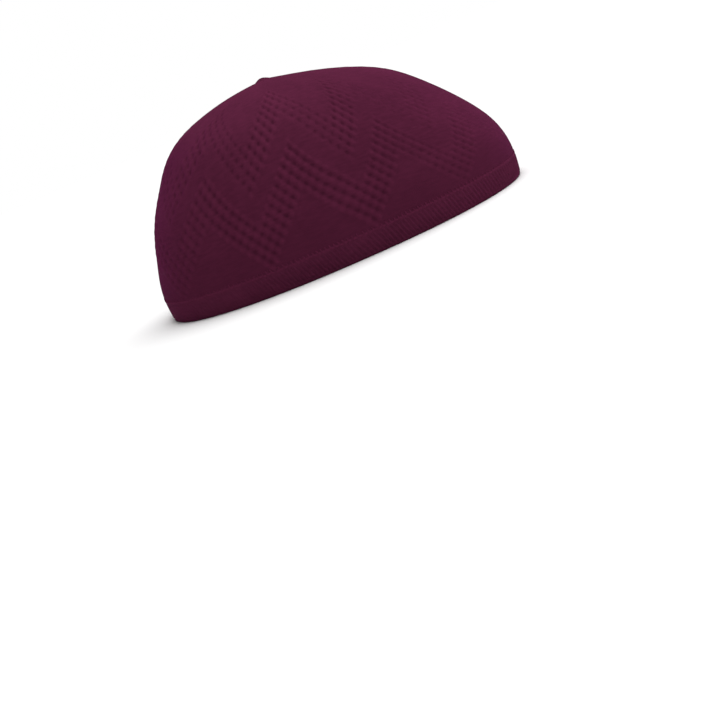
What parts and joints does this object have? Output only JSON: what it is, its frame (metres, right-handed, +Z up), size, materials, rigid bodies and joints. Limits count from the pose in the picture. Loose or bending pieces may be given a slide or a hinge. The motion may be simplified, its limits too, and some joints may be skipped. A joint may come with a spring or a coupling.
{
  "type": "knitted skull cap",
  "caption": "Close-fitting knitted skull cap: a hollow dome of fine knit with zigzag dimples, a turned hem and a small knot at the top.",
  "frame": {"origin": "middle of the rim, on the plane that the rim rests on", "axes": "+X towards the wearer's front, +Y towards the wearer's left, +Z up through the crown"},
  "size_m": [0.2001, 0.157, 0.098],
  "materials": {
    "crown_knit": "matt fine knit",
    "hem_knit": "matt fine knit, turned double",
    "knot_yarn": "matt yarn"
  },
  "bodies": {
    "root": {"crown": "crown_knit", "rim_band": "hem_knit", "top_knot": "knot_yarn"}
  },
  "joints": []
}
